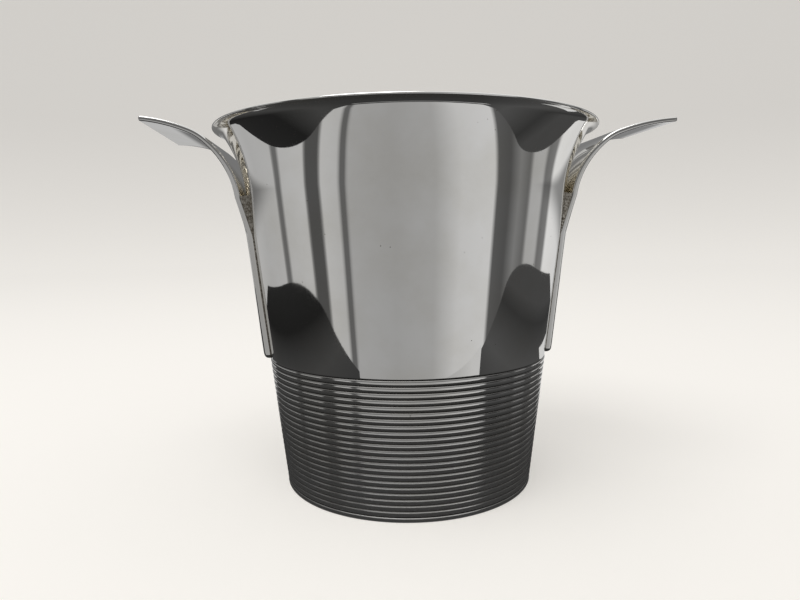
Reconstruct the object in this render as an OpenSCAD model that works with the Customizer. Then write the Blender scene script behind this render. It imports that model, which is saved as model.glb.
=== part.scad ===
// One-bottle champagne bucket: a spun and silver-plated body with two broad strap handles.
// The origin is at the centre of the foot, on the table. The handles lie along X.

/* [Body] */
// Height from the table to the top of the lip
body_h = 190.9; // [170:0.1:230]
// Radius of the cone of the body where it meets the table
base_r = 68.1; // [60:0.1:80]
// Slope of the body wall from the vertical, in degrees
wall_slope = 6.46; // [4:0.01:9]
// Thickness of the spun sheet
wall = 1.2; // [0.8:0.1:2]

/* [Mouth] */
// Height at which the cone starts to flare, below the lip
flare_h = 33.4; // [25:0.1:45]
// Slope at the end of the long flare, in degrees
flare_slope = 32.7; // [25:0.1:45]
// Radius of the tight bend that turns the lip out
lip_bend_r = 5.2; // [3:0.1:8]
// Flat part of the lip past the bend
lip_flat = 0.2; // [0.2:0.1:3]

/* [Ribs] */
// Number of ribs rolled round the foot of the body
rib_count = 22; // [8:1:26]
// Height of one rib
rib_pitch = 3.08; // [2.6:0.01:4]
// Depth of the groove between two ribs
rib_depth = 0.3; // [0.1:0.05:0.5]
// How far the middle of a rib stands out from its edges
rib_crown = 0.18; // [0:0.01:0.3]

/* [Foot and base] */
// Height of the plain foot ring
foot_h = 2.6; // [2:0.1:5]
// Width of the foot ring, from its outside to its inside
foot_w = 3.4; // [2:0.1:6]
// Thickness of the base plate
base_t = 1.4; // [1:0.1:2.5]
// How far the middle of the base plate is pressed up
base_lift = 1.2; // [0:0.1:2]

/* [Handles] */
// Width of a handle across its foot
strap_foot_w = 38.6; // [30:0.1:50]
// Width across its free end
strap_tip_w = 67.2; // [45:0.1:75]
// Thickness at the foot of the handle
strap_foot_t = 3.4; // [2.5:0.1:4.5]
// Thickness at the free end
strap_tip_t = 2.4; // [1.5:0.1:3]
// Height at which the middle of the handle leaves the body
strap_leave_z = 155.5; // [140:0.5:156]
// Length over which the edges lift off before that
strap_lift = 20; // [8:1:30]
// Length of the last bend of the left handle
left_reach = 23.2; // [15:0.1:32]
// Length of the last bend of the right handle
right_reach = 28.6; // [15:0.1:32]
// Twist of the left handle's free end, as a slope
left_twist = 0.04; // [-0.08:0.01:0.08]
// Twist of the right handle's free end, as a slope
right_twist = -0.02; // [-0.08:0.01:0.08]

/* [Brazing] */
// Width of the bead of silver solder round the foot of a handle
bead_w = 0.9; // [0.4:0.1:1.5]
// Thickness of the solder film behind a handle
film_t = 0.1; // [0.05:0.05:0.2]

/* [Hidden] */
$fn = 180;

// The first two bends of a handle, each a length and a turn in degrees; the reach is the third
strap_bends = [[34.6, 45], [8, 18.5]];
last_turn = 17.8;
strap_corner = 4;
tip_corner = 2.5;
strap_gap = 0.06;        // between the film and the facets of the strap
widening = 1.6;          // power of the curve by which a strap widens along its length
across = 8;              // cells across a strap
groove_w = 0.9;
bead_gap = 0.05;

// Outward direction of a wall that leans out by a degrees
function out_dir(a) = [cos(a), -sin(a)];

// Radius of the plain cone at height z
function cone_r(z) = base_r + z * tan(wall_slope);
function cone_r_in(z) = cone_r(z) - wall / cos(wall_slope);

// Points on an arc that starts at p with slope a, and turns out by turn degrees at radius r
function bend(p, a, turn, r, n) =
    [for (i = [1:n]) p + r * (out_dir(a) - out_dir(a + turn * i / n))];

// ---- outline of the shell ----
lip_under = body_h - wall;
bend_low = lip_under - lip_bend_r * (1 - sin(flare_slope));
flare_start = body_h - flare_h;
flare_r = (bend_low - flare_start) / (sin(flare_slope) - sin(wall_slope));
flare_p = [cone_r(flare_start), flare_start];
flare_n = 14;
bend_n = 8;
flare_pts = bend(flare_p, wall_slope, flare_slope - wall_slope, flare_r, flare_n);
bend_pts = bend(flare_pts[flare_n - 1], flare_slope, 90 - flare_slope, lip_bend_r, bend_n);
lip_end = bend_pts[bend_n - 1] + [lip_flat, 0];

function rib_z(i) = foot_h + i * rib_pitch;

// One rib and the groove above it, on the cone
function rib_pts(i) =
    let (z0 = rib_z(i), z1 = rib_z(i + 1), zm = (z0 + z1) / 2)
    [[cone_r(z0 + groove_w / 2), z0 + groove_w / 2],
     [cone_r(zm) + rib_crown, zm],
     [cone_r(z1 - groove_w / 2), z1 - groove_w / 2],
     [cone_r(z1) - rib_depth, z1]];

// The inner wall, one sheet thickness in from the outer, from the lip down
function inset(p, a) = p - wall * out_dir(a);
inner_pts = concat(
    [for (i = [bend_n - 1:-1:0])
        inset(bend_pts[i], flare_slope + (90 - flare_slope) * (i + 1) / bend_n)],
    [for (i = [flare_n - 1:-1:0])
        inset(flare_pts[i], wall_slope + (flare_slope - wall_slope) * (i + 1) / flare_n)],
    [inset(flare_p, wall_slope), [cone_r_in(foot_h), foot_h]]);

module body_shell() color("#c9c6c1") rotate_extrude() {
    polygon(concat(
        [[cone_r(foot_h), foot_h]],
        [for (i = [0:rib_count - 1]) each rib_pts(i)],
        [[cone_r(rib_z(rib_count) + groove_w / 2), rib_z(rib_count) + groove_w / 2], flare_p],
        flare_pts, bend_pts, [lip_end, lip_end + [0, wall]], inner_pts));
    translate(lip_end + [0, wall / 2]) circle(d = wall, $fn = 24);
}

module base_plate() color("#b9b6b0") rotate_extrude() {
    z0 = foot_h;
    z1 = foot_h + base_t;
    step_r = cone_r(0) - 12;
    polygon([[0, z0 + base_lift], [step_r - 4, z0 + base_lift], [step_r, z0],
             [cone_r_in(z0), z0], [cone_r_in(z1), z1], [step_r, z1],
             [step_r - 4, z1 + base_lift], [0, z1 + base_lift]]);
}

module foot_ring() color("#c9c6c1") rotate_extrude() {
    r = cone_r(foot_h) + rib_crown;
    ease = 0.4;
    polygon([[r - foot_w, 0], [r - ease, 0], [r, ease], [r, foot_h], [r - foot_w, foot_h]]);
}

// ---- strap handles ----
strap_foot_z = rib_z(rib_count) + 0.3;
foot_run = (strap_leave_z - strap_foot_z) / cos(wall_slope);
function strap_len(reach) = foot_run + strap_bends[0][0] + strap_bends[1][0] + reach;
foot_steps = 8;
corner_steps = 3;

// A station is [radius, height, slope in degrees, length along the strap]
function station(s) =
    [cone_r(strap_foot_z) + s * sin(wall_slope), strap_foot_z + s * cos(wall_slope), wall_slope, s];
function run_stations(from, len, turn, n) =
    let (r = len / turn * 180 / PI, pts = bend([from.x, from.y], from.z, turn, r, n))
    [for (i = [0:n - 1])
        [pts[i].x, pts[i].y, from.z + turn * (i + 1) / n, from[3] + len * (i + 1) / n]];
function last(list) = list[len(list) - 1];
function foot_s(i) = strap_corner + (foot_run - strap_corner) * i / foot_steps;

function strap_stations(reach) =
    let (on_body = concat(
             [for (i = [0:corner_steps]) station(strap_corner * (1 - cos(90 * i / corner_steps)))],
             [for (i = [1:foot_steps]) station(foot_s(i))]),
         first = run_stations(last(on_body), strap_bends[0][0], strap_bends[0][1], 8),
         second = run_stations(last(first), strap_bends[1][0], strap_bends[1][1], 4),
         share = (reach - tip_corner) / reach,
         third = run_stations(last(second), reach - tip_corner, last_turn * share, 4),
         tip = run_stations(last(third), tip_corner, last_turn * (1 - share), corner_steps))
    concat(on_body, first, second, third, tip);

// Half the width at a length s along a strap that is total long in all
function round_off(s, r) = s < r ? r - sqrt(r * r - (r - s) * (r - s)) : 0;
function strap_half_w(s, total) =
    (strap_foot_w + (strap_tip_w - strap_foot_w) * pow(s / total, widening)) / 2
    - round_off(s, strap_corner) - round_off(total - s, tip_corner);

// How far a strap dips towards the body at a distance y from its middle
function strap_sag(st, y) =
    let (r = cone_r(st.y), grip = min(1, max(0, (foot_run - st[3]) / strap_lift)))
    grip * (r - sqrt(r * r - y * y));

function strap_row(st, total, twist, depth) =
    let (hw = strap_half_w(st[3], total),
         drop = twist * max(0, st[3] - foot_run) / (total - foot_run))
    [for (j = [0:across])
        let (y = hw * (2 * j / across - 1),
             p = [st.x, st.y] + (depth - strap_sag(st, y)) * out_dir(st.z))
        [p.x, y, p.y - y * drop]];

module strap(reach, twist) {
    st = strap_stations(reach);
    total = strap_len(reach);
    n = len(st);
    m = across + 1;
    clear = film_t + strap_gap;
    thick = function(s) strap_foot_t + (strap_tip_t - strap_foot_t) * s / total;
    inner = [for (k = st) each strap_row(k, total, twist, clear)];
    outer = [for (k = st) each strap_row(k, total, twist, clear + thick(k[3]))];
    io = n * m;
    polyhedron(concat(inner, outer), concat(
        [for (i = [0:n - 2], j = [0:across - 1])
            let (a = i * m + j) [a, a + 1, a + m + 1, a + m]],
        [for (i = [0:n - 2], j = [0:across - 1])
            let (a = io + i * m + j) [a, a + m, a + m + 1, a + 1]],
        [for (i = [0:n - 2]) let (a = i * m) [a, a + m, io + a + m, io + a]],
        [for (i = [0:n - 2]) let (a = i * m + across) [a, io + a, io + a + m, a + m]],
        [for (j = [0:across - 1]) [j, io + j, io + j + 1, j + 1]],
        [for (j = [0:across - 1])
            let (a = (n - 1) * m + j) [a, a + 1, io + a + 1, io + a]]));
}

module handle_right() color("#c9c6c1") strap(right_reach, right_twist);
module handle_left() color("#c9c6c1") mirror([1, 0, 0]) strap(left_reach, left_twist);

// ---- silver solder ----
// Steps of a strap's foot that lie on the body, before its edges lift
braze_steps = foot_steps - 2;

// The outline of the part of a strap that lies on the body, grown by extra
module strap_outline(reach, extra) {
    corner = [for (i = [0:corner_steps])
        let (a = 90 * i / corner_steps)
        [strap_foot_w / 2 - strap_corner + (strap_corner + extra) * sin(a),
         strap_corner - (strap_corner + extra) * cos(a)]];
    side = concat(corner, [for (i = [1:braze_steps])
        [strap_half_w(foot_s(i), strap_len(reach)) + extra, foot_s(i)]]);
    rise = cos(wall_slope);
    polygon(concat(
        [for (p = side) [p.x, strap_foot_z + p.y * rise]],
        [for (i = [len(side) - 1:-1:0]) [-side[i].x, strap_foot_z + side[i].y * rise]]));
}

module outline_prism(reach, extra) translate([50, 0, 0]) rotate([90, 0, 90])
    linear_extrude(50) strap_outline(reach, extra);

// A thin conical skin on the outside of the body
module skin(t) rotate_extrude() {
    z0 = strap_foot_z - 2;
    z1 = strap_leave_z;
    polygon([[cone_r(z0), z0], [cone_r(z0) + t, z0], [cone_r(z1) + t, z1], [cone_r(z1), z1]]);
}

// The film behind a strap, and the bead along its sides and under its end
module braze(reach) {
    intersection() {
        skin(film_t);
        outline_prism(reach, bead_w);
    }
    intersection() {
        skin(bead_w);
        difference() {
            outline_prism(reach, bead_w);
            outline_prism(reach, bead_gap);
        }
    }
}

module braze_right() color("#a9a59c") braze(right_reach);
module braze_left() color("#a9a59c") mirror([1, 0, 0]) braze(left_reach);

body_shell();
base_plate();
foot_ring();
handle_left();
handle_right();
braze_left();
braze_right();
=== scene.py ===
import math
import bmesh
import bpy
from mathutils import Matrix, Vector, noise


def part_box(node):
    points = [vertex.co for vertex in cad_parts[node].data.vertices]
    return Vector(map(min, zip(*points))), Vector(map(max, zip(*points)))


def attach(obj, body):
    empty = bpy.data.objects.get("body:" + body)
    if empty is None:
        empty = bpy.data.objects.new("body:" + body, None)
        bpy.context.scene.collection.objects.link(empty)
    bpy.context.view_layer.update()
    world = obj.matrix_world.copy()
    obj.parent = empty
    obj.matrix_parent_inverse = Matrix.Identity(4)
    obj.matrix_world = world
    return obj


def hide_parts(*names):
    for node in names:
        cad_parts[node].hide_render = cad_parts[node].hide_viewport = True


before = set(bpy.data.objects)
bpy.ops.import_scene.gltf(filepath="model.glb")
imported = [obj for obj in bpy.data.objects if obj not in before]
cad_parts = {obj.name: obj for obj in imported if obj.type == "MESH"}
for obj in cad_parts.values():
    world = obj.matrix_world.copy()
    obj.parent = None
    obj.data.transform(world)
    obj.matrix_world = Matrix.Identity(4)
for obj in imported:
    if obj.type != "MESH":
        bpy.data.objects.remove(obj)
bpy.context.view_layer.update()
print("frame loaded:", ", ".join(sorted(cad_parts)))

mm = 0.001
mergeGap = 0.002 * mm          # points closer than this are one
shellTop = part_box("body_shell")[1].z
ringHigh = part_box("foot_ring")[1]


camera = {
    "place": (-24.05 * mm, -347.6 * mm, 135.85 * mm),
    "heading": -3.33,      # degrees about Z, negative is to the right
    "down": 6.07,          # degrees below level
    "roll": -0.73,
    "lens": 27.9,
    "nearest": 10 * mm,
}


def setCamera():
    bpy.ops.object.camera_add()
    eye = bpy.context.object
    eye.name = "camera"
    eye.data.lens = camera["lens"]
    eye.data.clip_start = camera["nearest"]
    eye.matrix_world = (
        Matrix.Translation(camera["place"])
        @ Matrix.Rotation(math.radians(camera["heading"]), 4, "Z")
        @ Matrix.Rotation(math.radians(90 - camera["down"]), 4, "X")
        @ Matrix.Rotation(math.radians(camera["roll"]), 4, "Z")
    )
    bpy.context.scene.camera = eye


bpy.ops.object.select_all(action="DESELECT")
setCamera()
print("camera set")


def outDir(slope):
    # outward direction of a wall that leans out by this slope, as radius and height
    return Vector((math.cos(slope), -math.sin(slope)))


def bendAlong(start, slope, turn, radius, steps):
    # points on an arc that leaves start at this slope and turns further out
    return [start + radius * (outDir(slope) - outDir(slope + turn * k / steps))
            for k in range(1, steps + 1)]


def quarterTurn(steps):
    # the angles of a quarter circle cut into this many steps
    return [math.pi / 2 * k / steps for k in range(steps + 1)]


def finishShape(piece, sharpAngle=35):
    bpy.ops.object.mode_set(mode="EDIT")
    bpy.ops.mesh.select_all(action="SELECT")
    bpy.ops.mesh.remove_doubles(threshold=mergeGap)
    bpy.ops.mesh.normals_make_consistent(inside=False)
    bpy.ops.object.mode_set(mode="OBJECT")
    bpy.ops.object.shade_smooth_by_angle(angle=math.radians(sharpAngle))


def spinOutline(name, outline, steps):
    # the outline is drawn point by point from one vertex, then spun round Z
    bpy.ops.object.select_all(action="DESELECT")
    bpy.ops.mesh.primitive_plane_add(size=mm, location=(outline[0].x, 0, outline[0].y))
    piece = bpy.context.object
    piece.name = name
    bpy.ops.object.transform_apply(location=True)
    bpy.ops.object.mode_set(mode="EDIT")
    bpy.ops.mesh.select_all(action="SELECT")
    bpy.ops.mesh.merge(type="CENTER")
    for here, there in zip(outline, outline[1:]):
        move = (there.x - here.x, 0, there.y - here.y)
        bpy.ops.mesh.extrude_vertices_move(TRANSFORM_OT_translate={"value": move})
    bpy.ops.mesh.select_all(action="SELECT")
    bpy.ops.mesh.spin(steps=steps, angle=2 * math.pi, center=(0, 0, 0), axis=(0, 0, 1))
    bpy.ops.object.mode_set(mode="OBJECT")
    finishShape(piece)
    return piece


def rollGrid(name, sections):
    # a grid with one row for each closed section, rolled up into a tube and capped
    bpy.ops.object.select_all(action="DESELECT")
    bpy.ops.mesh.primitive_grid_add(x_subdivisions=len(sections[0]),
                                    y_subdivisions=len(sections) - 1, size=0.1)
    piece = bpy.context.object
    piece.name = name
    points = [point for section in sections for point in section + section[:1]]
    for vertex, point in zip(piece.data.vertices, points):
        vertex.co = point
    bpy.ops.object.mode_set(mode="EDIT")
    bpy.ops.mesh.select_all(action="SELECT")
    bpy.ops.mesh.remove_doubles(threshold=mergeGap)
    bpy.ops.mesh.fill_holes(sides=0)
    bpy.ops.object.mode_set(mode="OBJECT")
    finishShape(piece)
    return piece


def standFor(piece, node):
    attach(piece, "root")
    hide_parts(node)


shell = {
    "slope": math.radians(6.46),
    "wall": 1.2 * mm,
    "flareHeight": 33.4 * mm,       # from the start of the flare to the top
    "flareSlope": math.radians(32.7),
    "lipBend": 5.2 * mm,
    "lipFlat": 0.2 * mm,
    "ribCount": 22,
    "ribPitch": 3.08 * mm,
    "ribSwell": 0.3 * mm,           # how far the middle of a rib stands out from the cone
    "ribCurve": 2.3,                # power of the curve across a rib
    "ribSteps": 8,
    "grooveWidth": 0.6 * mm,
    "grooveDepth": 0.3 * mm,
    "grooveSteps": 3,
    "ringStep": 0.18 * mm,          # how far the foot ring stands out from the cone
    "closeRing": 0.5 * mm,          # the first ring above the ribs, to keep their top groove crisp
    "wallRings": 19,
    "flareSteps": 26,
    "lipSteps": 10,
    "edgeSteps": 8,
    "insideRings": 24,
    "steps": 160,                   # round the bucket
    "waviness": 0.12 * mm,          # hand spinning and years of use leave the wall this uneven
    "waveLength": 45 * mm,
}
footHeight = ringHigh.z
baseRadius = ringHigh.x - shell["ringStep"] - footHeight * math.tan(shell["slope"])
ribTop = footHeight + shell["ribCount"] * shell["ribPitch"]


def coneRadius(height):
    return baseRadius + height * math.tan(shell["slope"])


def ribOutline(low):
    # one swelling rib from this height, and the groove above it
    half = shell["grooveWidth"] / 2
    first, last = low + half, low + shell["ribPitch"] - half
    points = []
    for k in range(shell["ribSteps"] + 1):
        share = k / shell["ribSteps"]
        height = first + (last - first) * share
        swell = shell["ribSwell"] * (1 - abs(2 * share - 1) ** shell["ribCurve"])
        points.append(Vector((coneRadius(height) + swell, height)))
    steps = shell["grooveSteps"]
    for k in range(1 - steps, steps):
        height = low + shell["ribPitch"] + half * k / steps
        dip = shell["grooveDepth"] * (1 + math.cos(math.pi * k / steps)) / 2
        points.append(Vector((coneRadius(height) - dip, height)))
    return points


def makeShell():
    slope, wall = shell["slope"], shell["wall"]
    flareStart = shellTop - shell["flareHeight"]
    lipUnder = shellTop - wall
    bendLow = lipUnder - shell["lipBend"] * (1 - math.sin(shell["flareSlope"]))
    flareRadius = (bendLow - flareStart) / (math.sin(shell["flareSlope"]) - math.sin(slope))

    outer = [Vector((coneRadius(footHeight), footHeight))]
    for k in range(shell["ribCount"]):
        outer += ribOutline(footHeight + k * shell["ribPitch"])
    rings = shell["wallRings"]
    low = ribTop + shell["grooveWidth"] / 2
    heights = [low, low + shell["closeRing"]]
    heights += [low + (flareStart - low) * k / rings for k in range(1, rings + 1)]
    outer += [Vector((coneRadius(z), z)) for z in heights]

    flareSteps, lipSteps, edgeSteps = shell["flareSteps"], shell["lipSteps"], shell["edgeSteps"]
    flareTurn = shell["flareSlope"] - slope
    lipTurn = math.pi / 2 - shell["flareSlope"]
    flare = bendAlong(outer[-1], slope, flareTurn, flareRadius, flareSteps)
    lip = bendAlong(flare[-1], shell["flareSlope"], lipTurn, shell["lipBend"], lipSteps)
    lipEdge = lip[-1] + Vector((shell["lipFlat"], wall / 2))
    edge = [lipEdge + wall / 2 * Vector((math.sin(turn), -math.cos(turn)))
            for turn in [math.pi * k / edgeSteps for k in range(edgeSteps + 1)]]

    # the inner wall is the outer one, set in by the thickness of the sheet
    inner = [Vector((lip[-1].x, shellTop))]
    inner += [lip[k] - wall * outDir(shell["flareSlope"] + lipTurn * (k + 1) / lipSteps)
              for k in range(lipSteps - 2, -1, -1)]
    inner += [flare[k] - wall * outDir(slope + flareTurn * (k + 1) / flareSteps)
              for k in range(flareSteps - 1, -1, -1)]
    innerFoot = Vector((coneRadius(footHeight) - wall / math.cos(slope), footHeight))
    innerTop = Vector((coneRadius(flareStart), flareStart)) - wall * outDir(slope)
    rings = shell["insideRings"]
    inner += [innerTop.lerp(innerFoot, k / rings) for k in range(rings + 1)]

    piece = spinOutline("shell", outer + flare + lip + edge + inner + outer[:1], shell["steps"])

    ripple = bpy.data.textures.new("ripple", "CLOUDS")
    ripple.noise_scale = shell["waveLength"]
    ripple.noise_depth = 1
    uneven = piece.modifiers.new("uneven", "DISPLACE")
    uneven.texture = ripple
    uneven.texture_coords = "LOCAL"
    uneven.strength = shell["waviness"]
    bpy.ops.object.modifier_apply(modifier=uneven.name)
    standFor(piece, "body_shell")
    return piece


bodyShell = makeShell()
print("shell made:", len(bodyShell.data.polygons), "faces")


foot = {
    "width": 3.4 * mm,
    "ease": 0.7 * mm,
    "seam": 0.8 * mm,              # rounding where the ring meets the shell
    "easeSteps": 5,
    "seamSteps": 4,
}
floorPlate = {
    "thick": 1.4 * mm,
    "lift": 1.2 * mm,              # the middle is pressed up
    "stepIn": 12 * mm,             # from the foot radius to the foot of the step
    "stepRun": 4 * mm,
    "flatRings": 5,
    "stepRings": 6,
    "rimRings": 3,
}


def makeFootRing():
    outside, inside = ringHigh.x, ringHigh.x - foot["width"]
    ease, seam = foot["ease"], foot["seam"]
    lower = [Vector((outside - ease + ease * math.sin(a), ease - ease * math.cos(a)))
             for a in quarterTurn(foot["easeSteps"])]
    upper = [Vector((outside - seam + seam * math.cos(a), footHeight - seam + seam * math.sin(a)))
             for a in quarterTurn(foot["seamSteps"])]
    back = [Vector((inside, footHeight)), Vector((inside, ease)), Vector((inside + ease, 0))]
    outline = lower + upper + back
    piece = spinOutline("footRing", outline + outline[:1], shell["steps"])
    standFor(piece, "foot_ring")
    return piece


def makeFloorPlate():
    low, thick = footHeight, floorPlate["thick"]
    stepFoot = baseRadius - floorPlate["stepIn"]
    rim = coneRadius(low) - shell["wall"] / math.cos(shell["slope"])
    flatEdge = stepFoot - floorPlate["stepRun"]
    flatRings, stepRings = floorPlate["flatRings"], floorPlate["stepRings"]
    under = [Vector((flatEdge * k / flatRings, low + floorPlate["lift"]))
             for k in range(flatRings + 1)]
    for k in range(1, stepRings + 1):
        height = low + floorPlate["lift"] * (1 + math.cos(math.pi * k / stepRings)) / 2
        under.append(Vector((flatEdge + floorPlate["stepRun"] * k / stepRings, height)))
    rimRings = floorPlate["rimRings"]
    under += [under[-1].lerp(Vector((rim, low)), k / rimRings) for k in range(1, rimRings + 1)]
    over = [point + Vector((0, thick)) for point in reversed(under)]
    over[0].x += thick * math.tan(shell["slope"])
    piece = spinOutline("floorPlate", under + over, shell["steps"])
    standFor(piece, "base_plate")
    return piece


footRing = makeFootRing()
basePlate = makeFloorPlate()
print("foot ring and floor made")


strap = {
    "footWidth": 38.6 * mm,
    "tipWidth": 67.2 * mm,
    "widening": 1.6,               # power of the curve by which a strap widens
    "footThick": 3.4 * mm,
    "tipThick": 2.4 * mm,
    "footHeight": ribTop + 0.3 * mm,
    "leaveHeight": 155.5 * mm,
    "liftRun": 20 * mm,            # the edges lift off over this length before that
    "bends": [(34.6 * mm, 45), (8 * mm, 18.5)],
    "lastTurn": 17.8,
    "footCorner": 2.4 * mm,
    "footRound": 3 * mm,           # length over which the foot thins out to the body
    "footLip": 0.6 * mm,           # thickness left at its very end
    "tipCorner": 1.4 * mm,
    "edge": 0.8 * mm,              # rounding of the long edges
    "leastEdge": 0.02 * mm,        # and how little of it may be left at the free end
    "edgeShare": 0.45,             # or at most this share of the thickness
    "edgeSteps": 5,
    "cornerSteps": 12,
    "clear": 0.16 * mm,            # solder behind the strap
    "across": 20,
    "spacing": 1.6 * mm,
}
handles = {
    "handleRight": {"node": "handle_right", "side": 1, "reach": 28.6 * mm, "twist": -0.02},
    "handleLeft": {"node": "handle_left", "side": -1, "reach": 23.2 * mm, "twist": 0.04},
}
footRun = (strap["leaveHeight"] - strap["footHeight"]) / math.cos(shell["slope"])


def strapLength(reach):
    return footRun + sum(length for length, turn in strap["bends"]) + reach


def strapPath(length, reach):
    # where the back of the strap runs at this length along it: radius and height, and slope
    slope = shell["slope"]
    start = Vector((coneRadius(strap["footHeight"]), strap["footHeight"]))
    onBody = min(length, footRun)
    point = start + onBody * Vector((math.sin(slope), math.cos(slope)))
    left = length - onBody
    for run, turn in strap["bends"] + [(reach, strap["lastTurn"])]:
        part = min(left, run)
        if part <= 0:
            break
        turned = math.radians(turn) * part / run
        radius = run / math.radians(turn)
        point = point + radius * (outDir(slope) - outDir(slope + turned))
        slope += turned
        left -= part
    return point, slope


def cornerCut(distance, radius):
    # how much a rounded corner takes off the width at this distance from the end
    if distance >= radius:
        return 0
    return radius - math.sqrt(max(0, radius ** 2 - (radius - distance) ** 2))


def halfWidth(length, total):
    widen = (strap["tipWidth"] - strap["footWidth"]) * (length / total) ** strap["widening"]
    return (strap["footWidth"] + widen) / 2


def roundness(radius, sideways):
    # how far a round body of this radius has curved away at this distance from the middle
    return radius - math.sqrt(radius ** 2 - sideways ** 2)


def gripAt(length):
    # 1 where a strap follows the round body, falling to 0 where it leaves it
    return min(1, max(0, (footRun - length) / strap["liftRun"]))


def onStrap(length, sideways, depth, handle):
    # a point at this length, this far from the middle and this far out from the body
    reach, total = handle["reach"], strapLength(handle["reach"])
    point, slope = strapPath(length, reach)
    sag = gripAt(length) * roundness(coneRadius(point.y), sideways)
    point = point + (strap["clear"] + depth - sag) * outDir(slope)
    drop = handle["twist"] * max(0, length - footRun) / (total - footRun)
    return Vector((handle["side"] * point.x, sideways, point.y - sideways * drop))


def strapSection(length, handle):
    # a rectangle with rounded corners, which shrinks into the rounded ends of the strap
    total = strapLength(handle["reach"])
    share = length / total
    thick = strap["footThick"] + (strap["tipThick"] - strap["footThick"]) * share
    inset = cornerCut(total - length, strap["edge"])
    thinning = cornerCut(length, strap["footRound"]) / strap["footRound"]
    wide = halfWidth(length, total) - cornerCut(length, strap["footCorner"])
    wide -= cornerCut(total - length, strap["tipCorner"])
    low, high = inset, thick - inset - (thick - strap["footLip"]) * thinning
    edge = min(max(strap["edge"] - inset, strap["leastEdge"]), strap["edgeShare"] * (high - low))
    corners = [(wide - edge, low + edge, -90), (wide - edge, high - edge, 0),
               (edge - wide, high - edge, 90), (edge - wide, low + edge, 180)]
    outline = []
    for middleY, middleDepth, start in corners:
        for turn in quarterTurn(strap["edgeSteps"]):
            angle = math.radians(start) + turn
            outline.append((middleY + edge * math.cos(angle), middleDepth + edge * math.sin(angle)))
        if start in (0, 180):
            away = (wide - edge) * (1 if start == 0 else -1)
            depth = high if start == 0 else low
            outline += [(away * (1 - 2 * k / strap["across"]), depth)
                        for k in range(1, strap["across"])]
    return [onStrap(length, sideways, depth, handle) for sideways, depth in outline]


def strapStops(total):
    # closely spaced round the two ends, evenly spaced between them
    turns = quarterTurn(strap["cornerSteps"])[:-1]
    heel = [strap["footCorner"] * (1 - math.cos(turn)) for turn in turns]
    tip = [total - strap["tipCorner"] * (1 - math.cos(turn)) for turn in turns]
    low, high = strap["footCorner"], total - strap["tipCorner"]
    count = round((high - low) / strap["spacing"])
    return heel + [low + (high - low) * k / count for k in range(count + 1)] + tip[::-1]


def makeHandle(name):
    handle = handles[name]
    stops = strapStops(strapLength(handle["reach"]))
    piece = rollGrid(name, [strapSection(length, handle) for length in stops])
    standFor(piece, handle["node"])
    return piece


straps = [makeHandle(name) for name in handles]
print("handles made:", [len(piece.data.polygons) for piece in straps], "faces")


solder = {
    "width": 0.6 * mm,
    "height": 0.55 * mm,
    "run": 86 * mm,                # how far up a strap the bead goes
    "fade": 5 * mm,
    "bury": 0.12 * mm,             # how far the back of the bead sinks into its neighbours
    "least": 0.08,                 # share of its size left at the very top
    "lump": 2.2 * mm,              # size of the lumps in it
    "sizes": (0.85, 0.3),          # its mean size, and how much the lumps add or take away
    "sideSteps": 64,
    "cornerSteps": 8,
    "endSteps": 12,
    "faceSteps": 7,
}
solders = {
    "solderRight": {"node": "braze_right", "handle": "handleRight"},
    "solderLeft": {"node": "braze_left", "handle": "handleLeft"},
}


def solderPath(handle):
    # places along the edge of a strap's foot, each with the direction away from the strap
    total = strapLength(handle["reach"])
    corner = strap["footCorner"]
    steps = solder["sideSteps"]
    side = [corner + (solder["run"] - corner) * k / steps for k in range(steps, 0, -1)]
    right = [(halfWidth(s, total), s, 1, 0) for s in side]
    half = halfWidth(corner, total) - corner
    for turn in quarterTurn(solder["cornerSteps"]):
        right.append((half + corner * math.cos(turn), corner - corner * math.sin(turn),
                      math.cos(turn), -math.sin(turn)))
    steps = solder["endSteps"]
    bottom = [(half * (1 - k / steps), 0, 0, -1) for k in range(1, 2 * steps)]
    left = [(-y, s, -awayY, awayS) for y, s, awayY, awayS in reversed(right)]
    return right + bottom + left


def makeSolder(name):
    handle = handles[solders[name]["handle"]]
    sections = []
    for y, s, awayY, awayS in solderPath(handle):
        spot = Vector((y, s, handle["side"])) / solder["lump"]
        size = solder["sizes"][0] + solder["sizes"][1] * noise.noise(spot)
        size *= min(1, max(solder["least"], (solder["run"] - s) / solder["fade"]))
        wide, high, bury = solder["width"] * size, solder["height"] * size, solder["bury"]
        radius = coneRadius(strapPath(s, handle["reach"])[0].y)
        base = -(1 - gripAt(s)) * roundness(radius, y)     # the wall, behind a lifted edge
        face = [(wide * (1 - math.sin(turn)), base + (high - base) * (1 - math.cos(turn)))
                for turn in quarterTurn(solder["faceSteps"])]
        outline = face + [(-bury, high), (-bury, base - bury), (wide, base - bury)]
        sections.append([onStrap(max(0, s) if awayS == 0 else s + u * awayS,
                                 y + u * awayY, v - strap["clear"], handle)
                         for u, v in outline])
    piece = rollGrid(name, sections)
    standFor(piece, solders[name]["node"])
    return piece


beads = [makeSolder(name) for name in solders]
print("solder made")


def linear(hexColour):
    # an sRGB hex value as the linear colour that a socket takes
    parts = [int(hexColour[k:k + 2], 16) / 255 for k in (1, 3, 5)]
    return tuple(c / 12.92 if c <= 0.04045 else ((c + 0.055) / 1.055) ** 2.4 for c in parts) + (1,)


def addNode(tree, kind, sockets=None, stops=None, **settings):
    node = tree.nodes.new(kind)
    for name, value in settings.items():
        setattr(node, name, value)
    for name, value in (sockets or {}).items():
        if isinstance(value, bpy.types.NodeSocket):
            tree.links.new(value, node.inputs[name])
        else:
            node.inputs[name].default_value = value
    for k, (place, colour) in enumerate(stops or []):
        if k < 2:
            node.color_ramp.elements[k].position = place
        else:
            node.color_ramp.elements.new(place)
        node.color_ramp.elements[k].color = colour
    return node


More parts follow.
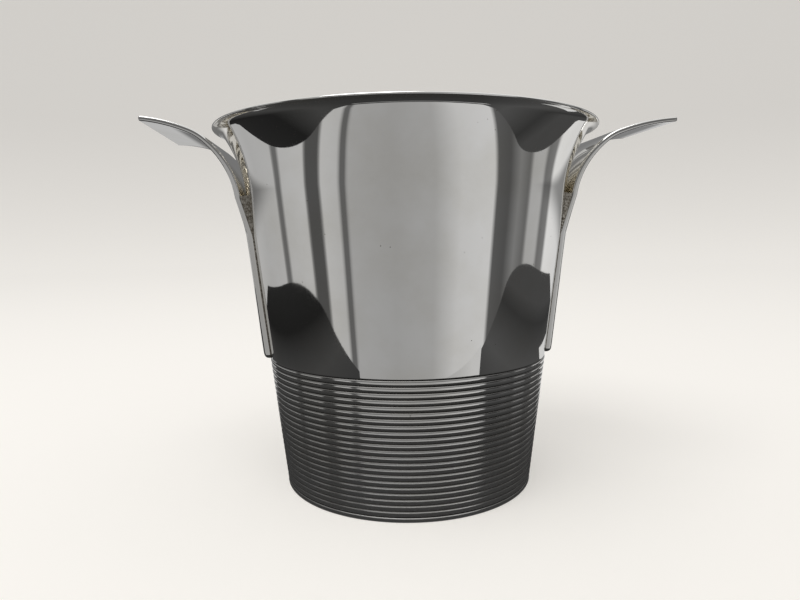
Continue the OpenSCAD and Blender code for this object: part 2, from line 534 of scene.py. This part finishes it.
def startMaterial(name, piecesWithIt):
    material = bpy.data.materials.new(name)
    material.use_nodes = True
    for piece in piecesWithIt:
        piece.data.materials.clear()
        piece.data.materials.append(material)
    return material.node_tree, material.node_tree.nodes["Principled BSDF"]


# Silver plate on spun metal, buffed to a mirror: near-white, hardly warm, sharp reflections that
# blur a little where years of wiping have hazed it, small dark pits, tarnish left in the grooves.
plate = {
    "clean": "#f4f3f1",
    "aged": "#eae8e3",
    "pitColour": "#6a6158",
    "grooveColour": "#2b2723",
    "patch": 38 * mm,              # size of the patches of haze
    "gloss": (0.012, 0.05),        # roughness from the clearest patch to the haziest
    "hazeRange": (0.36, 0.68),     # noise values at which the haze starts and is full
    "footWear": 0.2,               # added roughness at the lowest rib, from years of standing
    "lineGap": 0.9 * mm,           # buffing lines, drawn coarser than the real 0.05 mm ones
    "lineLength": 40 * mm,
    "lineDepth": 0.0006 * mm,
    "lineGloss": 0.012,            # roughness that the lines add
    "pitGap": 4 * mm,
    "pitShare": 0.80,              # cells above this have a pit
    "pitSize": 0.055,              # radius of a pit as a share of the gap
    "pitGloss": 0.3,
    "pitDepth": 0.5,               # as a share of the depth of the lines
    "dirt": 0.92,                  # how much of the groove colour covers the bottom of a groove
    "dirtEdge": (0.09, 0.14),      # where it starts to thin and where it ends, in ribs
    "dirtGloss": 0.25,
    "floorGloss": (0.14, 0.26),    # the floor, scratched by ice and spoons
}


def silverPlate(name, piecesWithIt, lines, gloss, grooves=False):
    tree, shader = startMaterial(name, piecesWithIt)
    place = addNode(tree, "ShaderNodeTexCoord").outputs["Object"]

    haze = addNode(tree, "ShaderNodeTexNoise", {
        "Vector": place, "Scale": 1 / plate["patch"], "Detail": 4, "Roughness": 0.6})
    hazeShare = addNode(tree, "ShaderNodeMapRange", {
        "Value": haze.outputs["Fac"],
        "From Min": plate["hazeRange"][0], "From Max": plate["hazeRange"][1]})

    stretched = addNode(tree, "ShaderNodeMapping", {"Vector": place, "Scale": lines})
    streak = addNode(tree, "ShaderNodeTexNoise", {
        "Vector": stretched.outputs["Vector"], "Scale": 1, "Detail": 2, "Roughness": 0.5})

    cells = addNode(tree, "ShaderNodeTexVoronoi", {"Vector": place, "Scale": 1 / plate["pitGap"]})
    near = addNode(tree, "ShaderNodeMath", {
        0: cells.outputs["Distance"], 1: plate["pitSize"]}, operation="LESS_THAN")
    pick = addNode(tree, "ShaderNodeSeparateColor", {"Color": cells.outputs["Color"]})
    chosen = addNode(tree, "ShaderNodeMath", {
        0: pick.outputs["Red"], 1: plate["pitShare"]}, operation="GREATER_THAN")
    pit = addNode(tree, "ShaderNodeMath", {
        0: near.outputs[0], 1: chosen.outputs[0]}, operation="MULTIPLY")

    tone = addNode(tree, "ShaderNodeMix", {
        "Factor": hazeShare.outputs["Result"], "A": linear(plate["clean"]),
        "B": linear(plate["aged"])}, data_type="RGBA")
    pitted = addNode(tree, "ShaderNodeMix", {
        "Factor": pit.outputs[0], "A": tone.outputs[2],
        "B": linear(plate["pitColour"])}, data_type="RGBA")
    colour = pitted

    rough = addNode(tree, "ShaderNodeMapRange", {
        "Value": hazeShare.outputs["Result"], "To Min": gloss[0], "To Max": gloss[1]})
    rougher = addNode(tree, "ShaderNodeMath", {
        0: streak.outputs["Fac"], 1: plate["lineGloss"],
        2: rough.outputs["Result"]}, operation="MULTIPLY_ADD")
    roughness = addNode(tree, "ShaderNodeMath", {
        0: pit.outputs[0], 1: plate["pitGloss"],
        2: rougher.outputs[0]}, operation="MULTIPLY_ADD")

    if grooves:
        height = addNode(tree, "ShaderNodeSeparateXYZ", {"Vector": place}).outputs["Z"]
        above = addNode(tree, "ShaderNodeMath", {0: height, 1: footHeight}, operation="SUBTRACT")
        count = addNode(tree, "ShaderNodeMath", {
            0: above.outputs[0], 1: shell["ribPitch"]}, operation="DIVIDE")
        nearest = addNode(tree, "ShaderNodeMath", {0: count.outputs[0]}, operation="ROUND")
        off = addNode(tree, "ShaderNodeMath", {
            0: count.outputs[0], 1: nearest.outputs[0]}, operation="SUBTRACT")
        away = addNode(tree, "ShaderNodeMath", {0: off.outputs[0]}, operation="ABSOLUTE")
        dirt = addNode(tree, "ShaderNodeMapRange", {
            "Value": away.outputs[0],
            "From Min": plate["dirtEdge"][0], "From Max": plate["dirtEdge"][1],
            "To Min": plate["dirt"], "To Max": 0})
        ribbed = addNode(tree, "ShaderNodeMath", {
            0: height, 1: ribTop + shell["grooveWidth"]}, operation="LESS_THAN")
        inGroove = addNode(tree, "ShaderNodeMath", {
            0: dirt.outputs["Result"], 1: ribbed.outputs[0]}, operation="MULTIPLY")
        colour = addNode(tree, "ShaderNodeMix", {
            "Factor": inGroove.outputs[0], "A": pitted.outputs[2],
            "B": linear(plate["grooveColour"])}, data_type="RGBA")
        worn = addNode(tree, "ShaderNodeMapRange", {
            "Value": height, "From Min": ribTop, "From Max": 0,
            "To Min": 0, "To Max": plate["footWear"]})
        dull = addNode(tree, "ShaderNodeMath", {
            0: inGroove.outputs[0], 1: plate["dirtGloss"],
            2: worn.outputs["Result"]}, operation="MULTIPLY_ADD")
        roughness = addNode(tree, "ShaderNodeMath", {
            0: dull.outputs[0], 1: roughness.outputs[0]}, operation="ADD")

    relief = addNode(tree, "ShaderNodeMath", {
        0: pit.outputs[0], 1: -plate["pitDepth"],
        2: streak.outputs["Fac"]}, operation="MULTIPLY_ADD")
    bump = addNode(tree, "ShaderNodeBump", {
        "Height": relief.outputs[0], "Strength": 1, "Distance": plate["lineDepth"]})
    tree.links.new(colour.outputs[2], shader.inputs["Base Color"])
    tree.links.new(roughness.outputs[0], shader.inputs["Roughness"])
    tree.links.new(bump.outputs["Normal"], shader.inputs["Normal"])
    shader.inputs["Metallic"].default_value = 1


# Silver solder, filed but not buffed: a greyer metal with a soft sheen and open pits.
joint = {
    "metal": "#bdb8ae",
    "stain": "#7c7468",
    "grain": 1.1 * mm,
    "relief": 0.03 * mm,
    "stainRange": (0.42, 0.62),    # noise values between the stain and the bare metal
    "gloss": (0.24, 0.5),          # roughness of the bare metal and of the stain
}


def silverSolder(name, piecesWithIt):
    tree, shader = startMaterial(name, piecesWithIt)
    place = addNode(tree, "ShaderNodeTexCoord").outputs["Object"]
    grain = addNode(tree, "ShaderNodeTexNoise", {
        "Vector": place, "Scale": 1 / joint["grain"], "Detail": 5, "Roughness": 0.65})
    stained = addNode(tree, "ShaderNodeMapRange", {
        "Value": grain.outputs["Fac"],
        "From Min": joint["stainRange"][0], "From Max": joint["stainRange"][1],
        "To Min": 1, "To Max": 0})
    colour = addNode(tree, "ShaderNodeMix", {
        "Factor": stained.outputs["Result"], "A": linear(joint["metal"]),
        "B": linear(joint["stain"])}, data_type="RGBA")
    rough = addNode(tree, "ShaderNodeMapRange", {
        "Value": stained.outputs["Result"],
        "To Min": joint["gloss"][0], "To Max": joint["gloss"][1]})
    bump = addNode(tree, "ShaderNodeBump", {
        "Height": grain.outputs["Fac"], "Strength": 1, "Distance": joint["relief"]})
    tree.links.new(colour.outputs[2], shader.inputs["Base Color"])
    tree.links.new(rough.outputs["Result"], shader.inputs["Roughness"])
    tree.links.new(bump.outputs["Normal"], shader.inputs["Normal"])
    shader.inputs["Metallic"].default_value = 1


longWay, shortWay = 1 / plate["lineLength"], 1 / plate["lineGap"]
silverPlate("silverPlateBuffed", [bodyShell, footRing], (longWay, longWay, shortWay),
            plate["gloss"], grooves=True)
silverPlate("silverPlateHandles", straps, (longWay, shortWay, longWay), plate["gloss"])
silverPlate("silverPlateDulled", [basePlate], (shortWay, longWay, longWay),
            plate["floorGloss"])
silverSolder("silverSolder", beads)
print("materials made")


studio = {
    "floorColour": "#d9d6d1",
    "paperGlow": 0.48,             # keeps the far wall as pale as the floor
    "paperRoughness": 0.9,
    "paperShine": 0.1,
    "floorRadius": 2.4,
    "floorSweep": 0.7,             # radius by which the floor turns up into the wall
    "floorSteps": 12,
    "wallHeight": 1.5,
    # the dark boards that only reflections see, each from left to right and from front to back
    "boards": {
        "frontBoard": (-0.60, 0.75, -0.19, 0.16),
        "leftBoard": (-0.60, -0.20, 0.16, 0.50),
        "rightBoard": (0.30, 0.75, 0.16, 0.62),
    },
    "boardDrop": 0.5 * mm,         # they lie this far under the foot
    "boardCorner": 0.3,            # rounding of the two front corners
    "boardSteps": 12,
    # how much light the boards give back at each place across
    "boardGlow": [(-0.60, 0.02), (-0.36, 0.014), (-0.22, 0.055), (-0.10, 0.036),
                  (0.10, 0.036), (0.24, 0.075), (0.40, 0.036), (0.50, 0.06)],
    # brightness of the light tent by direction, in degrees to the right of the front
    "tent": [(-180, 0.52), (-150, 0.48), (-125, 0.42), (-104, 0.45), (-102, 0.14), (-98, 0.14),
             (-96, 0.46), (-76, 0.50), (-74, 0.08), (-64, 0.08), (-62, 0.50), (-50, 0.46),
             (-48, 0.12), (-45, 0.12), (-43, 0.37), (-12, 0.34), (16, 0.37), (34, 0.55),
             (58, 0.60), (60, 0.10), (70, 0.08), (79, 0.20), (88, 0.13), (91, 0.40),
             (102, 0.42), (105, 0.16), (113, 0.20), (116, 0.76), (136, 0.70), (180, 0.52)],
    "ceiling": 0.78,
    "farWall": 0.35,               # how much of a panel's brightness is left at eye level
    "farWallRange": (-0.07, 0),
    "ceilingRange": (0.3, 0.55),   # sines of the slopes between which the panels give way to it
    "cardPlace": (0.025, -0.155),  # a low card in front, which lights the crowns of the ribs
    "cardSize": (0.26, 0.028),
    "cardGlow": (0.36, 0.56),      # on its left and on its right
    "cardFade": (0.03, 0.12),      # where across the stage it goes from the one to the other
    "keyPlace": (-0.5, -0.7, 1.7),
    "keySize": 1.1,
    "keyPower": 11,
    "keyAim": 0.1,                 # height of the point that it faces
    "bounces": 32,                 # the handles and the wall mirror each other
}


def onlyInReflections(piece):
    piece.visible_camera = False
    piece.visible_diffuse = False
    piece.visible_shadow = False
    piece.visible_transmission = False


def makeFloor():
    # a pale disc that curves up into a low wall all round
    bpy.ops.object.select_all(action="DESELECT")
    bpy.ops.mesh.primitive_circle_add(vertices=96, radius=studio["floorRadius"], fill_type="NGON")
    floor = bpy.context.object
    floor.name = "floor"
    bpy.ops.object.mode_set(mode="EDIT")
    bpy.ops.mesh.select_all(action="SELECT")
    sweep = studio["floorSweep"]
    reached = studio["floorRadius"]
    turns = quarterTurn(studio["floorSteps"])
    for before, after in zip(turns, turns[1:]):
        wanted = studio["floorRadius"] + sweep * math.sin(after)
        rise = sweep * (math.cos(before) - math.cos(after))
        bpy.ops.mesh.extrude_region_move(TRANSFORM_OT_translate={"value": (0, 0, rise)})
        bpy.ops.transform.resize(value=(wanted / reached, wanted / reached, 1))
        reached = wanted
    wallRise = studio["wallHeight"] - sweep
    bpy.ops.mesh.extrude_region_move(TRANSFORM_OT_translate={"value": (0, 0, wallRise)})
    bpy.ops.mesh.delete(type="ONLY_FACE")
    bpy.ops.object.mode_set(mode="OBJECT")
    bpy.ops.object.shade_smooth()
    floor.visible_glossy = False
    floor.visible_diffuse = False
    floor.visible_shadow = False
    tree, shader = startMaterial("studioPaper", [floor])
    shader.inputs["Base Color"].default_value = linear(studio["floorColour"])
    shader.inputs["Roughness"].default_value = studio["paperRoughness"]
    shader.inputs["Specular IOR Level"].default_value = studio["paperShine"]
    shader.inputs["Emission Color"].default_value = linear(studio["floorColour"])
    shader.inputs["Emission Strength"].default_value = studio["paperGlow"]


def makeBoard(name):
    # a dark board on the floor, for the dark shapes in the flare, the wall and the ribs
    left, right, front, back = studio["boards"][name]
    bpy.ops.object.select_all(action="DESELECT")
    bpy.ops.mesh.primitive_plane_add(size=1)
    board = bpy.context.object
    board.name = name
    bpy.ops.object.mode_set(mode="EDIT")
    bpy.ops.mesh.select_all(action="SELECT")
    bpy.ops.transform.resize(value=(right - left, back - front, 1))
    middle = ((left + right) / 2, (front + back) / 2, -studio["boardDrop"])
    bpy.ops.transform.translate(value=middle)
    if name == "frontBoard":
        bpy.ops.mesh.select_all(action="DESELECT")
        for vertex in bmesh.from_edit_mesh(board.data).verts:
            vertex.select = vertex.co.y < 0
        bpy.ops.mesh.bevel(offset=studio["boardCorner"], segments=studio["boardSteps"],
                           affect="VERTICES")
    bpy.ops.object.mode_set(mode="OBJECT")
    return board


def makeBoards():
    boards = [makeBoard(name) for name in studio["boards"]]
    tree = startMaterial("darkBoard", boards)[0]
    place = addNode(tree, "ShaderNodeTexCoord").outputs["Object"]
    across = addNode(tree, "ShaderNodeSeparateXYZ", {"Vector": place}).outputs["X"]
    left, right = studio["boardGlow"][0][0], studio["boardGlow"][-1][0]
    share = addNode(tree, "ShaderNodeMapRange", {
        "Value": across, "From Min": left, "From Max": right}).outputs["Result"]
    glow = addNode(tree, "ShaderNodeValToRGB", {"Fac": share},
                   [((x - left) / (right - left), (level, level, level, 1))
                    for x, level in studio["boardGlow"]])
    light = addNode(tree, "ShaderNodeEmission", {"Strength": glow.outputs["Color"]})
    tree.links.new(light.outputs[0], tree.nodes["Material Output"].inputs["Surface"])
    for board in boards:
        onlyInReflections(board)


def makeCard():
    bpy.ops.object.select_all(action="DESELECT")
    bpy.ops.mesh.primitive_plane_add(size=1)
    card = bpy.context.object
    card.name = "lowCard"
    width, height = studio["cardSize"]
    bpy.ops.object.mode_set(mode="EDIT")
    bpy.ops.mesh.select_all(action="SELECT")
    bpy.ops.transform.resize(value=(width, 0, 1))
    bpy.ops.object.mode_set(mode="OBJECT")
    for vertex in card.data.vertices:
        vertex.co.z = height if vertex.index > 1 else 0
        vertex.co.x += studio["cardPlace"][0]
        vertex.co.y = studio["cardPlace"][1]
    tree = startMaterial("paleCard", [card])[0]
    place = addNode(tree, "ShaderNodeTexCoord").outputs["Object"]
    across = addNode(tree, "ShaderNodeSeparateXYZ", {"Vector": place}).outputs["X"]
    glow = addNode(tree, "ShaderNodeMapRange", {
        "Value": across,
        "From Min": studio["cardFade"][0], "From Max": studio["cardFade"][1],
        "To Min": studio["cardGlow"][0], "To Max": studio["cardGlow"][1]})
    light = addNode(tree, "ShaderNodeEmission", {"Strength": glow.outputs["Result"]})
    tree.links.new(light.outputs[0], tree.nodes["Material Output"].inputs["Surface"])
    onlyInReflections(card)


def makeTent():
    # soft light from every side, in broad panels with darker gaps between them
    world = bpy.data.worlds.new("lightTent")
    bpy.context.scene.world = world
    world.use_nodes = True
    tree = world.node_tree
    place = addNode(tree, "ShaderNodeTexCoord").outputs["Generated"]
    turned = addNode(tree, "ShaderNodeMapping", {"Vector": place, "Rotation": (0, 0, math.pi / 2)})
    turn = addNode(tree, "ShaderNodeTexGradient", {
        "Vector": turned.outputs["Vector"]}, gradient_type="RADIAL")
    panels = addNode(tree, "ShaderNodeValToRGB", {"Fac": turn.outputs["Fac"]},
                     stops=[(angle / 360 + 0.5, (light, light, light, 1))
                            for angle, light in studio["tent"]])
    height = addNode(tree, "ShaderNodeSeparateXYZ", {"Vector": place}).outputs["Z"]
    upward = addNode(tree, "ShaderNodeMapRange", {
        "Value": height, "From Min": studio["ceilingRange"][0],
        "From Max": studio["ceilingRange"][1]}, interpolation_type="SMOOTHSTEP")
    level = addNode(tree, "ShaderNodeMapRange", {
        "Value": height, "From Min": studio["farWallRange"][0],
        "From Max": studio["farWallRange"][1],
        "To Min": 1, "To Max": studio["farWall"]}, interpolation_type="SMOOTHSTEP")
    walls = addNode(tree, "ShaderNodeVectorMath", {
        0: panels.outputs["Color"], "Scale": level.outputs["Result"]}, operation="SCALE")
    top = studio["ceiling"]
    sky = addNode(tree, "ShaderNodeMix", {
        "Factor": upward.outputs["Result"], "A": walls.outputs["Vector"],
        "B": (top, top, top, 1)}, data_type="RGBA")
    tree.links.new(sky.outputs[2], tree.nodes["Background"].inputs["Color"])


def makeKey():
    bpy.ops.object.light_add(type="AREA", location=studio["keyPlace"])
    key = bpy.context.object
    key.name = "key"
    key.data.size = studio["keySize"]
    key.data.energy = studio["keyPower"]
    towards = Vector((0, 0, studio["keyAim"])) - Vector(studio["keyPlace"])
    key.rotation_euler = towards.to_track_quat("-Z", "Y").to_euler()


makeFloor()
makeBoards()
makeCard()
makeTent()
makeKey()
bpy.context.scene.view_settings.view_transform = "Standard"
bpy.context.scene.cycles.max_bounces = studio["bounces"]
bpy.context.scene.cycles.glossy_bounces = studio["bounces"]
print("studio made")
